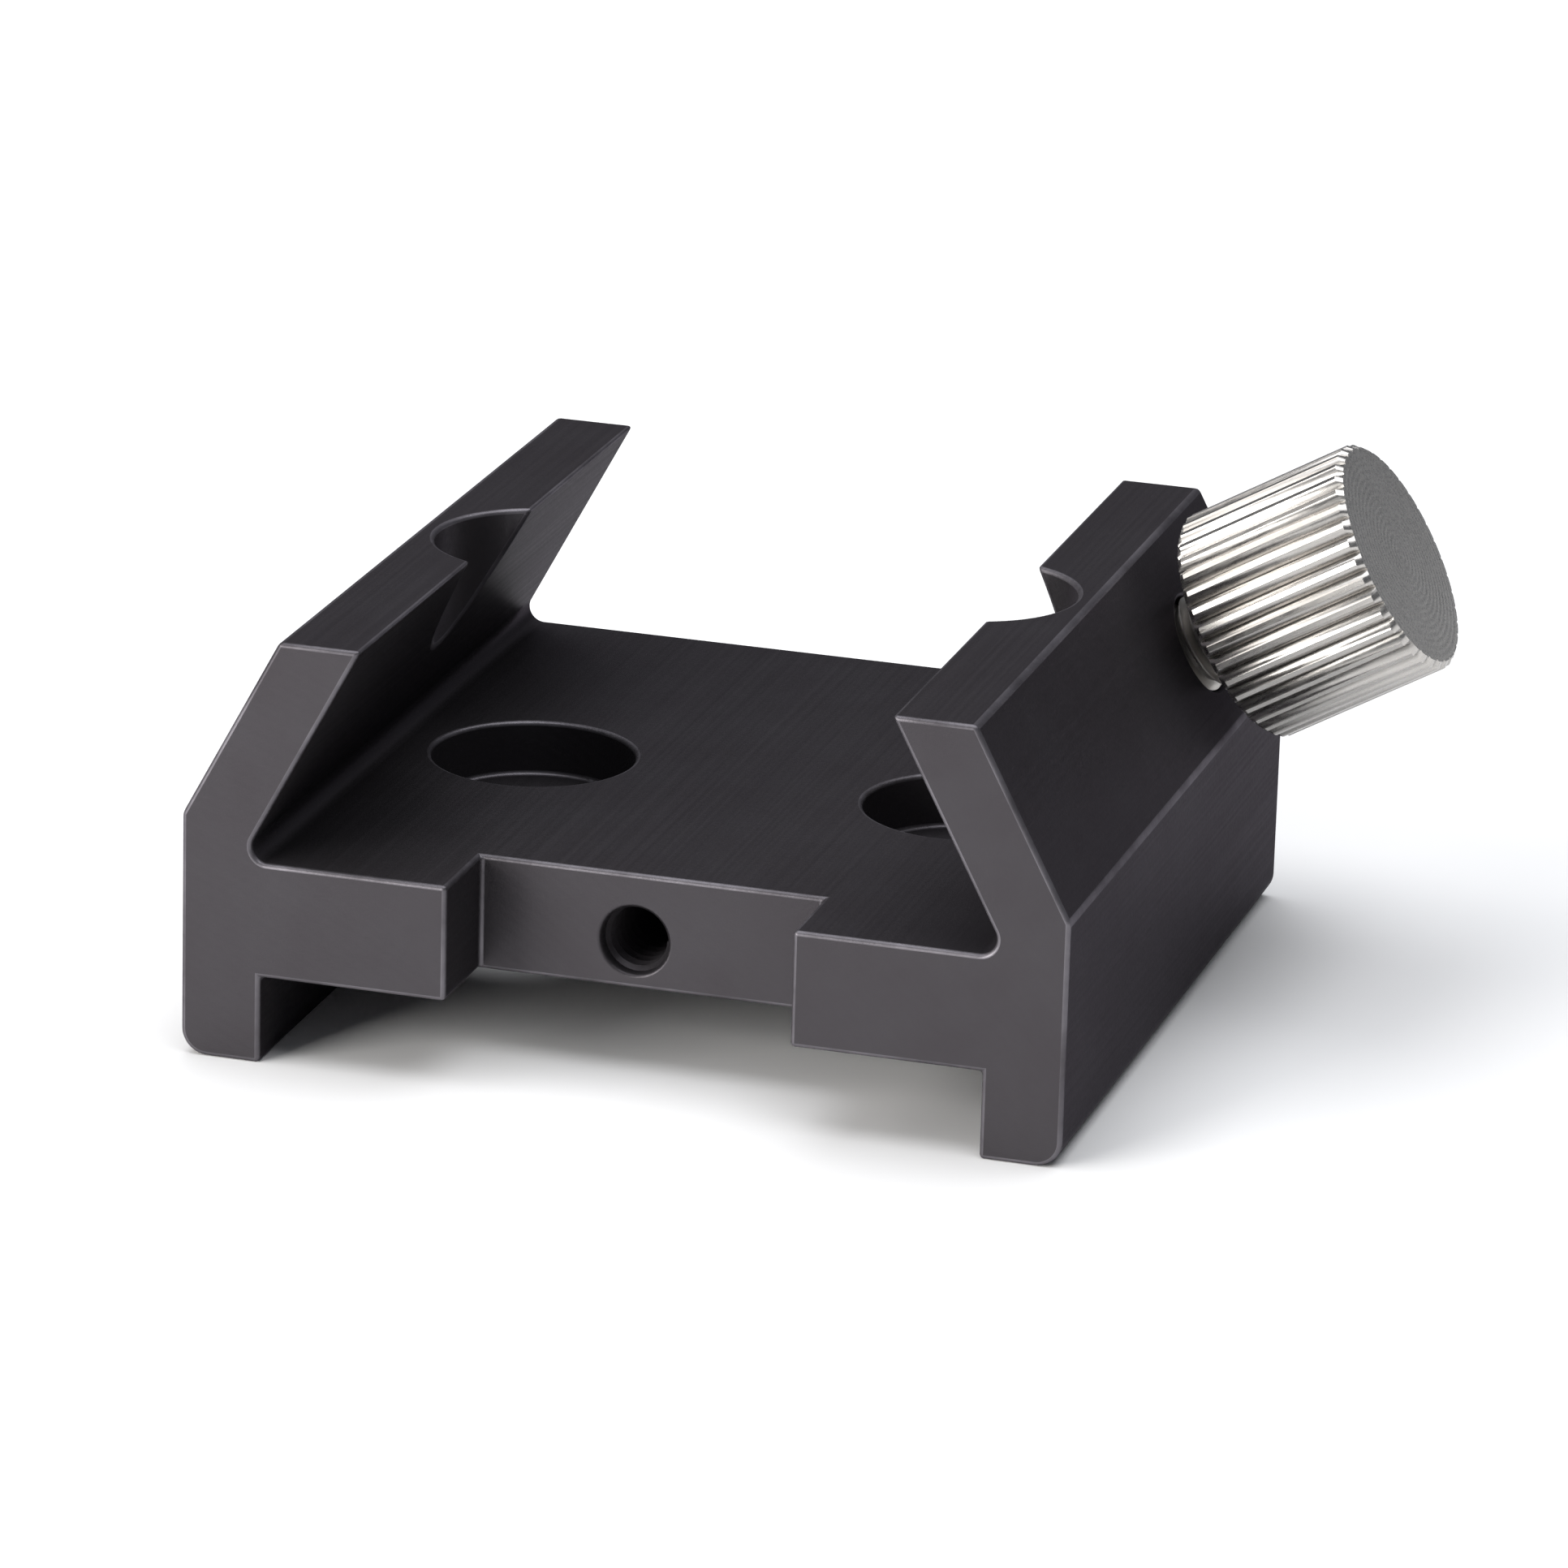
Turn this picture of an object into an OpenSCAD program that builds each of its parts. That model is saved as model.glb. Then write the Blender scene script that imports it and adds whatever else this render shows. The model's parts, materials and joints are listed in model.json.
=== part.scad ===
// Clamping shoe for a dovetail-footed accessory, such as a finder telescope.
// A machined H-section base with two leaning rails, and one thumbscrew that
// passes through the right rail and presses the accessory's foot into the left.
// Frame: +X across the channel towards the thumbscrew, +Y along the channel
// away from the notched end, +Z up. The origin is midway between the two
// mounting holes, on the underside of the web.

/* [Base extrusion] */
// Outside width across the two side walls
base_w = 44; // [42:0.5:48]
// Length along the channel
base_l = 42; // [40:0.5:50]
// Distance from the notched end to the mounting holes
holes_from_front = 20.8; // [18:0.2:22]
// Thickness of the web, the flat plate between the rails
web_t = 5.8; // [5:0.1:7]
// Height of the two feet below the web
foot_h = 4.35; // [4.2:0.05:6]
// Thickness of each foot
foot_t = 4; // [3:0.1:5]
// Radius on the outer lower edge of each foot
foot_round = 1.3; // [0.5:0.1:2]

/* [Dovetail channel] */
// Width of the channel at its floor
floor_w = 38; // [36:0.5:38.5]
// Height of the rails above the floor
rail_h = 11.15; // [10:0.05:12]
// Lean of the rails, measured from the floor, in degrees
rail_angle = 62; // [60:0.5:64]
// Height above the floor at which the outer face starts to lean
bend_h = 2.05; // [1.5:0.05:2.5]
// Radius in the corner between the floor and each rail
floor_fillet = 0.8; // [0.3:0.1:1]

/* [Notch and front hole] */
// Width of the notch in the front end of the web
notch_w = 17.2; // [14:0.2:20]
// Depth of the notch
notch_d = 5.1; // [4.2:0.1:6]
// Wall radius of the tapped hole in the notch, core of an M4 thread
front_hole_r = 1.67; // [1.2:0.01:1.8]
// Depth of the tapped hole
front_hole_l = 9; // [6:0.5:12]
// Distance of the hole from the middle of the notch
front_hole_x = -0.8; // [-1:0.1:1]
// Height of the hole above the web's underside
front_hole_z = 2.4; // [2.3:0.1:3.2]
// Radius of the chamfer at its mouth
front_hole_mouth_r = 1.9; // [1.85:0.05:2.2]

/* [Mounting holes] */
// Distance between the two mounting holes
hole_spacing = 22.4; // [22:0.2:24]
// Radius of each hole, clearance for an M5 screw
hole_r = 2.75; // [2.2:0.05:3]
// Radius of the counterbore, which also cuts a scallop in the rail above it
counterbore_r = 5.1; // [4.5:0.1:5.3]
// Depth of the counterbore below the floor
counterbore_d = 2.8; // [1.5:0.1:3]

/* [Thumbscrew] */
// Distance of the screw's axis behind the mounting holes
screw_y = 11.4; // [11:0.1:13]
// Height of the point where the axis leaves the right rail, above the web's underside
screw_z = 11.85; // [11.5:0.05:12.1]
// Rise of the screw's axis above horizontal, in degrees
screw_tilt = 30; // [28:0.5:31]
// Radius of the plain cylinder that stands for the M5 thread
stud_r = 2.45; // [2.4:0.01:2.46]
// Radial running clearance of the thread in its hole
stud_gap = 0.05; // [0.03:0.01:0.1]
// Gap between the head and the rail
head_gap = 2.1; // [1.45:0.05:2.5]
// Outer radius of the knurled head
head_r = 6; // [5:0.1:6.5]
// Length of the knurled head
head_l = 9.4; // [8:0.1:12]
// Number of ridges in the straight knurl
knurl_count = 38; // [24:1:48]
// Depth of the knurl's grooves
knurl_d = 0.4; // [0.2:0.05:0.5]
// Chamfer on the head's two rims
head_chamfer = 0.3; // [0.2:0.05:0.8]
// Radius of the pressure tip
tip_r = 1.9; // [1.7:0.05:2]
// Length of the pressure tip
tip_l = 2; // [1.8:0.1:2.2]
// How far the pressure tip stands out of the rail into the channel
tip_reach = 3; // [2.6:0.1:3.2]

/* [Hidden] */
half_w = base_w / 2;
front_y = -holes_from_front;
back_y = base_l - holes_from_front;
floor_z = web_t;
bend_z = floor_z + bend_h;
top_z = floor_z + rail_h;
foot_x = half_w - foot_t;
floor_x = floor_w / 2;
crest_in_x = floor_x - rail_h / tan(rail_angle);
crest_out_x = half_w - (rail_h - bend_h) / tan(rail_angle);
screw_x = half_w - (screw_z - bend_z) / tan(rail_angle);
// Rail thickness along the screw's axis
rail_t = (half_w - floor_x + bend_h / tan(rail_angle)) * sin(rail_angle) / cos(90 - rail_angle - screw_tilt);
stud_end = -rail_t - tip_reach + tip_l;
// Small post on the stud's end that the tip swivels on
post_r = 1;
post_l = 1.2;
post_gap = 0.05;
// Depth of the stud in the head
seat_l = 5;
// Overshoot of a cutting shape past a face
cut = 1;
$fn = 96;

function flip(points) = [for (i = [len(points) - 1 : -1 : 0]) [-points[i][0], points[i][1]]];

// Moves a shape drawn along +Z onto the screw's axis, with zero on the rail's outer face
module on_screw_axis() {
    translate([screw_x, screw_y, screw_z]) rotate([0, 90 - screw_tilt, 0]) children();
}

// Extrudes a cross-section over the whole length of the base
module along_channel() {
    translate([0, back_y, 0]) rotate([90, 0, 0]) linear_extrude(base_l) children();
}

// Cross-section of the extrusion
module h_section() {
    right = [
        [foot_x, 0],
        [foot_x, -foot_h],
        [half_w, -foot_h],
        [half_w, bend_z],
        [crest_out_x, top_z],
        [crest_in_x, top_z],
        [floor_x, floor_z],
    ];
    polygon(concat(right, flip(right)));
}

// Fillet in the acute corner between floor and rail
module floor_corner_fill() {
    reach = floor_fillet / tan(rail_angle / 2);
    middle = [floor_x - reach, floor_z + floor_fillet];
    on_rail = [floor_x - reach * cos(rail_angle), floor_z + reach * sin(rail_angle)];
    difference() {
        polygon([
            middle,
            [floor_x - reach, floor_z],
            [floor_x - reach, floor_z - cut],
            [floor_x + cut, floor_z - cut],
            on_rail + [cut, 0],
            on_rail,
        ]);
        translate(middle) circle(floor_fillet);
    }
}

// What is cut off to round the outer lower edge of a foot
module foot_edge_waste() {
    translate([half_w - foot_round, foot_round - foot_h]) difference() {
        translate([0, -foot_round - cut]) square([foot_round + cut, foot_round + cut]);
        circle(foot_round);
    }
}

module both_sides() {
    children();
    mirror([1, 0, 0]) children();
}

// Clearance hole, with the counterbore that runs up through the leaning rail
module mounting_hole_cut() {
    ledge_z = floor_z - counterbore_d;
    translate([hole_spacing / 2, 0, -cut]) cylinder(r = hole_r, h = web_t + 2 * cut);
    translate([hole_spacing / 2, 0, ledge_z]) cylinder(r = counterbore_r, h = top_z - ledge_z + cut);
}

module front_hole_cut() {
    chamfer = front_hole_mouth_r - front_hole_r;
    translate([front_hole_x, front_y + notch_d, front_hole_z]) rotate([-90, 0, 0]) {
        translate([0, 0, -cut]) cylinder(r = front_hole_r, h = front_hole_l + cut);
        translate([0, 0, -cut]) cylinder(r = front_hole_mouth_r, h = cut);
        cylinder(r1 = front_hole_mouth_r, r2 = front_hole_r, h = chamfer);
    }
}

module screw_hole_cut() {
    bore_r = stud_r + stud_gap;
    on_screw_axis() translate([0, 0, -rail_t - cut]) cylinder(r = bore_r, h = rail_t + 2 * cut);
}

module base() {
    color("#2b2a2d") difference() {
        along_channel() difference() {
            union() {
                h_section();
                floor_corner_fill();
                mirror([1, 0]) floor_corner_fill();
            }
            foot_edge_waste();
            mirror([1, 0]) foot_edge_waste();
        }
        translate([-notch_w / 2, front_y - cut, -cut]) cube([notch_w, notch_d + cut, web_t + 2 * cut]);
        both_sides() mounting_hole_cut();
        front_hole_cut();
        screw_hole_cut();
    }
}

// One V groove of the straight knurl, running the whole length of the head
module knurl_groove() {
    half_pitch = head_r * sin(180 / knurl_count);
    translate([head_r - knurl_d, 0, -cut]) linear_extrude(head_l + 2 * cut)
        polygon([[0, 0], [knurl_d + cut, half_pitch * 1.6], [knurl_d + cut, -half_pitch * 1.6]]);
}

// The head's blank, with a chamfer on both rims
module head_blank() {
    inner_r = head_r - head_chamfer;
    rotate_extrude() polygon([
        [0, 0],
        [inner_r, 0],
        [head_r, head_chamfer],
        [head_r, head_l - head_chamfer],
        [inner_r, head_l],
        [0, head_l],
    ]);
}

module thumbscrew_head() {
    color("#d4d5d8") on_screw_axis() translate([0, 0, head_gap]) difference() {
        head_blank();
        for (i = [0 : knurl_count - 1]) rotate(i * 360 / knurl_count) knurl_groove();
        translate([0, 0, -cut]) cylinder(r = stud_r, h = seat_l + cut);
    }
}

module thumbscrew_stud() {
    color("#c9cacd") on_screw_axis() {
        translate([0, 0, stud_end]) cylinder(r = stud_r, h = head_gap + seat_l - stud_end);
        translate([0, 0, stud_end - post_l]) cylinder(r = post_r, h = post_l + cut);
    }
}

module pressure_tip() {
    color("#e6e4dc") on_screw_axis() translate([0, 0, stud_end - tip_l]) difference() {
        cylinder(r = tip_r, h = tip_l - post_gap);
        translate([0, 0, tip_l - post_l - post_gap]) cylinder(r = post_r + post_gap, h = post_l + cut);
    }
}

base();
thumbscrew_head();
thumbscrew_stud();
pressure_tip();
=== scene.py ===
"""Looks of a finder dovetail mounting shoe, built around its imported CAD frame.

The shoe is a black anodised aluminium extrusion whose two rails lean over a
dovetail channel. One bright nickel thumbscrew passes through the right rail at
a slant, and its nylon tip presses the accessory's foot into the left rail.

The script is in metres in the CAD frame: +X across the channel towards the
thumbscrew, +Y along the channel away from the notched end, +Z up. Sizes of
pieces are given in millimetres and turned to metres where a mesh is made.
"""

import json
import logging
import math
from collections.abc import Iterable
from dataclasses import dataclass
from enum import Enum
from typing import Any

import bmesh
import bpy
from mathutils import Matrix, Vector


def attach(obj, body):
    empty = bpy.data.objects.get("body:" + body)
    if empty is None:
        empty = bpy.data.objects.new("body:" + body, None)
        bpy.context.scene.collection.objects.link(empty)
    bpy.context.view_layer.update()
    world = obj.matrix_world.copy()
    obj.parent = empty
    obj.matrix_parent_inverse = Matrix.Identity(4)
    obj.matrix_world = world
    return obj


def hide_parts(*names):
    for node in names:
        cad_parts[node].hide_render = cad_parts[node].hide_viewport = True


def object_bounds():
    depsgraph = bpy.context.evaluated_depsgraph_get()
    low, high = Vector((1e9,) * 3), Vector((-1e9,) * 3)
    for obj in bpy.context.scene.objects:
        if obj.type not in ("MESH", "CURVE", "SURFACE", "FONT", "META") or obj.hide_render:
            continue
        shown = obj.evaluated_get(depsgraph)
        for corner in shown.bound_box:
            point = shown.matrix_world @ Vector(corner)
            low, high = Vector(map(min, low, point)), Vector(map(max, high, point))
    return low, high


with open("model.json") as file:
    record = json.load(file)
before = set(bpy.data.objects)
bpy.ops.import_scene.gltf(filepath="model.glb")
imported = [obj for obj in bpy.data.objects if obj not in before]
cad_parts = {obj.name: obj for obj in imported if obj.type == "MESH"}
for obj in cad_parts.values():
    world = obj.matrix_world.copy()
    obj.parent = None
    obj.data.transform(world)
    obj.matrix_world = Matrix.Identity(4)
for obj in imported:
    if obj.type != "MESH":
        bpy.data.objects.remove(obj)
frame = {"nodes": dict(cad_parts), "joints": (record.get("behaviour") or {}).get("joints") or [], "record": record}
CAD_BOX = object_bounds()

LOG = logging.getLogger("mounting_shoe")
MM = 0.001
# Points closer than this are one point, in metres
MERGE_DISTANCE = 1e-6
# Points closer than this to a cutting plane lie on it, in metres
CUT_DISTANCE = 1e-9
# A Wave texture's phase grows by this much over one unit of its scaled space
WAVE_PHASE = 20
# Most of a noise's values lie between these two
NOISE_SPAN = (0.3, 0.7)
# Socket numbers of a Mix node that mixes colours
MIX_A, MIX_B, MIX_COLOUR = 6, 7, 2
# Socket numbers of a Mix node that mixes plain values
BLEND_A, BLEND_B = 2, 3

Colour = tuple[float, float, float, float]
Triple = tuple[float, float, float]
Elements = list[bmesh.types.BMVert | bmesh.types.BMEdge | bmesh.types.BMFace]


class Body(Enum):
    """The CAD model's bodies, which the pieces ride on."""

    SHOE = "shoe"
    TIP = "tip"
    THUMBSCREW = "thumbscrew"


class Node(Enum):
    """The CAD model's nodes, which the detailed pieces stand for."""

    BASE = "base"
    HEAD = "thumbscrew_head"
    STUD = "thumbscrew_stud"
    TIP = "pressure_tip"


class Slot(Enum):
    """Material slots of the record."""

    ANODISED = "black_anodised_aluminium"
    NICKEL = "bright_nickel_plate"
    STEEL = "plated_steel"
    NYLON = "natural_nylon"


class Mask(Enum):
    """Named values that a mesh carries for its material."""

    # 1 on the broken edges of a machined part, 0 elsewhere
    EDGE = "broken_edge"
    # 0 on the crest of a knurl or thread, 1 at its root; the screw's painted shade follows it
    ROOT = "root_depth"


# ---------------------------------------------------------------- small tools


def linear(hex_code: str) -> Colour:
    """Turns an sRGB hex colour to linear light.

    Args:
        hex_code: Colour such as "#2b2a2d".

    Returns:
        Red, green, blue and an alpha of 1.
    """
    channels = [int(hex_code[i : i + 2], 16) / 255 for i in (1, 3, 5)]
    red, green, blue = (c / 12.92 if c <= 0.04045 else ((c + 0.055) / 1.055) ** 2.4 for c in channels)
    return red, green, blue, 1.0


def add(
    tree: bpy.types.NodeTree,
    kind: str,
    settings: dict[str, Any] | None = None,
    inputs: dict[str | int, Any] | None = None,
) -> bpy.types.Node:
    """Adds a node with its settings and links.

    Args:
        tree: Tree that the node goes into.
        kind: Identifier of the node's type, without its "ShaderNode" prefix.
        settings: Values of the node's own properties.
        inputs: For each input, an output socket to link or a value to set.

    Returns:
        The new node.
    """
    node = tree.nodes.new("ShaderNode" + kind)
    for name, value in (settings or {}).items():
        setattr(node, name, value)
    for key, value in (inputs or {}).items():
        if isinstance(value, bpy.types.NodeSocket):
            tree.links.new(value, node.inputs[key])
        else:
            node.inputs[key].default_value = value
    return node


def repeats(size_mm: float) -> float:
    """Scale of a noise whose features have this size in millimetres."""
    return 1 / (size_mm * MM)


def stretched(sizes_mm: Triple) -> Vector:
    """Scale of a space in which a noise has these sizes along X, Y and Z."""
    return Vector([repeats(size) for size in sizes_mm])


def rings_apart(spacing_mm: float) -> float:
    """Scale of a Wave texture whose rings have this spacing in millimetres."""
    return math.tau / WAVE_PHASE * repeats(spacing_mm)


def merge_and_face_outwards(mesh: bmesh.types.BMesh) -> None:
    """Joins points that coincide, then turns every face outwards.

    Args:
        mesh: Mesh to clean in place.
    """
    bmesh.ops.remove_doubles(mesh, verts=mesh.verts, dist=MERGE_DISTANCE)
    bmesh.ops.recalc_face_normals(mesh, faces=mesh.faces)


def make_piece(mesh: bmesh.types.BMesh, name: str, smooth_below_deg: float = 180) -> bpy.types.Object:
    """Makes an object at the origin out of a finished mesh, and shades it.

    Args:
        mesh: Mesh in metres, in the CAD frame. It is freed.
        name: Name of the piece.
        smooth_below_deg: Edges that bend more than this are shaded sharp.

    Returns:
        The new object, linked to the scene.
    """
    for face in mesh.faces:
        face.smooth = True
    for edge in mesh.edges:
        edge.smooth = edge.is_manifold and edge.calc_face_angle() < math.radians(smooth_below_deg)
    data = bpy.data.meshes.new(name)
    mesh.to_mesh(data)
    mesh.free()
    piece = bpy.data.objects.new(name, data)
    bpy.context.scene.collection.objects.link(piece)
    return piece


def keep_flats_flat(piece: bpy.types.Object) -> None:
    """Weights normals by face area, so that only broken edges look round.

    Args:
        piece: Piece with narrow bevels between large flat faces.
    """
    weighted = piece.modifiers.new("flat_faces", "WEIGHTED_NORMAL")
    weighted.keep_sharp = True
    # The strongest weight, so that a bevel never tilts its neighbours' normals
    weighted.weight = 100


def spin_line(points_mm: Iterable[tuple[float, float]], steps: int) -> bmesh.types.BMesh:
    """Turns an outline round the Z axis to a closed body.

    Args:
        points_mm: Radius and height of each corner, from axis to axis.
        steps: Number of segments round the axis.

    Returns:
        A mesh in metres, with its axis on Z.
    """
    mesh = bmesh.new()
    corners = [mesh.verts.new((r * MM, 0, z * MM)) for r, z in points_mm]
    edges = [mesh.edges.new(pair) for pair in zip(corners, corners[1:])]
    bmesh.ops.spin(
        mesh,
        geom=corners + edges,
        cent=(0, 0, 0),
        axis=(0, 0, 1),
        angle=math.tau,
        steps=steps,
        use_merge=True,
    )
    merge_and_face_outwards(mesh)
    return mesh


def helix_from(mesh: bmesh.types.BMesh, outline: Elements, pitch_mm: float, turns: int, steps: int) -> None:
    """Sweeps an outline along a right-handed helix about Z, in place.

    Args:
        mesh: Mesh that holds the outline.
        outline: Its points and edges, and its face if the end is closed.
        pitch_mm: Rise of one turn.
        turns: Number of turns.
        steps: Number of segments in one turn.
    """
    bmesh.ops.spin(
        mesh,
        geom=outline,
        cent=(0, 0, 0),
        axis=(0, 0, 1),
        dvec=(0, 0, pitch_mm * MM / steps),
        angle=math.tau * turns,
        steps=turns * steps,
    )


# ------------------------------------------------------------------ finishes


@dataclass(frozen=True)
class Finish:
    """A finish made of nodes round one Principled shader."""

    name: str

    def material(self) -> bpy.types.Material:
        """Makes the finish's material.

        Returns:
            The new material.
        """
        made = bpy.data.materials.new(self.name)
        made.use_nodes = True
        tree = made.node_tree
        tree.nodes.clear()
        shader = add(tree, "BsdfPrincipled")
        add(tree, "OutputMaterial", inputs={"Surface": shader.outputs[0]})
        self.shade(tree, shader)
        return made

    def shade(self, tree: bpy.types.NodeTree, shader: bpy.types.Node) -> None:
        """Sets the shader up; each finish has its own way."""
        raise NotImplementedError


@dataclass(frozen=True)
class BlackAnodisedAluminium(Finish):
    """Extruded and milled aluminium, etched matt, anodised and dyed black.

    The eye sees a soft charcoal sheen over a trace of diffuse grey. The die
    leaves fine lines along the extrusion, the cutter leaves faint arcs on the
    two ends, and the broken edges are painted lighter: partly wear from
    handling, partly a painted highlight.
    """

    name: str = "black_anodised_aluminium"
    dye: str = "#464346"
    faded_dye: str = "#4b494c"
    # Lighter colour of the broken edges: partly wear, partly a painted highlight
    rubbed_edge_and_highlight: str = "#747176"
    grazing_tint: str = "#9c9a9e"
    metallic: float = 0.78
    specular_level: float = 0.05
    roughness: tuple[float, float] = (0.36, 0.48)
    # Lines run the length of the extrusion, which is along Y
    die_line_mm: Triple = (0.22, 30, 0.22)
    cutter_mark_mm: float = 0.55
    # The cutter's centre lies far off, so that only shallow arcs cross the ends
    cutter_centre_mm: Triple = (-45, 0, -60)
    cutter_mark_height: tuple[float, float] = (0.4, 0.6)
    # Share of a face's normal along Y, between a side and a milled end
    end_facing: tuple[float, float] = (0.8, 0.95)
    # Twice the real grit of the etch, so that it shows
    etch_grain_mm: float = 0.16
    etch_share: float = 0.45
    mottle_mm: float = 5
    # Mottle values between which a broken edge goes from least to fully lightened, partly by wear and partly by a
    # painted highlight
    rub_and_highlight_patches: tuple[float, float] = (0.35, 0.65)
    least_rub_and_highlight: float = 0.25
    # Mottle values between which the dye goes from fresh to faded
    fade_patches: tuple[float, float] = (0.3, 0.9)
    bump_mm: float = 0.02
    bump_strength: float = 0.6

    def shade(self, tree: bpy.types.NodeTree, shader: bpy.types.Node) -> None:
        """Lays die lines, cutter marks, etch grain, mottling and lightened edges, partly wear and partly painted
        highlight.

        Args:
            tree: Tree of the material.
            shader: Its Principled shader.
        """
        place = add(tree, "TexCoord")
        die_space = add(
            tree,
            "Mapping",
            inputs={"Vector": place.outputs["Object"], "Scale": stretched(self.die_line_mm)},
        )
        die_lines = add(
            tree, "TexNoise", inputs={"Vector": die_space.outputs[0], "Scale": 1.0, "Detail": 3.0}
        )
        cutter_space = add(
            tree,
            "Mapping",
            inputs={"Vector": place.outputs["Object"], "Location": -Vector(self.cutter_centre_mm) * MM},
        )
        cutter_marks = add(
            tree,
            "TexWave",
            {"wave_type": "RINGS", "rings_direction": "Y"},
            {
                "Vector": cutter_space.outputs[0],
                "Scale": rings_apart(self.cutter_mark_mm),
                "Distortion": 1.2,
                "Detail": 2.0,
            },
        )
        etch = add(
            tree,
            "TexNoise",
            inputs={
                "Vector": place.outputs["Object"],
                "Scale": repeats(self.etch_grain_mm),
                "Detail": 2.0,
            },
        )
        mottle = add(
            tree,
            "TexNoise",
            inputs={
                "Vector": place.outputs["Object"],
                "Scale": repeats(self.mottle_mm),
                "Detail": 4.0,
                "Roughness": 0.6,
            },
        )
        # The two ends face along Y, where the cutter's marks replace the die's
        facing = add(tree, "SeparateXYZ", inputs={0: place.outputs["Normal"]})
        along = add(tree, "Math", {"operation": "ABSOLUTE"}, {0: facing.outputs["Y"]})
        is_end = add(
            tree,
            "MapRange",
            inputs={
                "Value": along.outputs[0],
                "From Min": self.end_facing[0],
                "From Max": self.end_facing[1],
            },
        )
        faint_marks = add(
            tree,
            "MapRange",
            inputs={
                "Value": cutter_marks.outputs["Fac"],
                "To Min": self.cutter_mark_height[0],
                "To Max": self.cutter_mark_height[1],
            },
        )
        marks = add(
            tree,
            "Mix",
            inputs={
                0: is_end.outputs[0],
                BLEND_A: die_lines.outputs[0],
                BLEND_B: faint_marks.outputs[0],
            },
        )
        surface = add(
            tree,
            "Mix",
            inputs={0: self.etch_share, BLEND_A: marks.outputs[0], BLEND_B: etch.outputs[0]},
        )
        edge = add(tree, "Attribute", {"attribute_name": Mask.EDGE.value})
        patchy = add(
            tree,
            "MapRange",
            inputs={
                "Value": mottle.outputs[0],
                "From Min": self.rub_and_highlight_patches[0],
                "From Max": self.rub_and_highlight_patches[1],
                "To Min": self.least_rub_and_highlight,
            },
        )
        # Broken edges painted lighter: partly wear, partly a painted highlight of the edge
        rubbed_and_highlit = add(
            tree,
            "Math",
            {"operation": "MULTIPLY"},
            {0: edge.outputs["Fac"], 1: patchy.outputs[0]},
        )
        faded = add(
            tree,
            "MapRange",
            inputs={
                "Value": mottle.outputs[0],
                "From Min": self.fade_patches[0],
                "From Max": self.fade_patches[1],
            },
        )
        dyed = add(
            tree,
            "Mix",
            {"data_type": "RGBA"},
            {0: faded.outputs[0], MIX_A: linear(self.dye), MIX_B: linear(self.faded_dye)},
        )
        colour = add(
            tree,
            "Mix",
            {"data_type": "RGBA"},
            {0: rubbed_and_highlit.outputs[0], MIX_A: dyed.outputs[MIX_COLOUR], MIX_B: linear(self.rubbed_edge_and_highlight)},
        )
        gloss = add(
            tree,
            "MapRange",
            inputs={
                "Value": surface.outputs[0],
                "From Min": NOISE_SPAN[0],
                "From Max": NOISE_SPAN[1],
                "To Min": self.roughness[0],
                "To Max": self.roughness[1],
            },
        )
        relief = add(
            tree,
            "Bump",
            inputs={
                "Height": surface.outputs[0],
                "Strength": self.bump_strength,
                "Distance": self.bump_mm * MM,
            },
        )
        tree.links.new(colour.outputs[MIX_COLOUR], shader.inputs["Base Color"])
        tree.links.new(gloss.outputs[0], shader.inputs["Roughness"])
        tree.links.new(relief.outputs[0], shader.inputs["Normal"])
        shader.inputs["Metallic"].default_value = self.metallic
        shader.inputs["Specular Tint"].default_value = linear(self.grazing_tint)
        shader.inputs["Specular IOR Level"].default_value = self.specular_level


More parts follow.
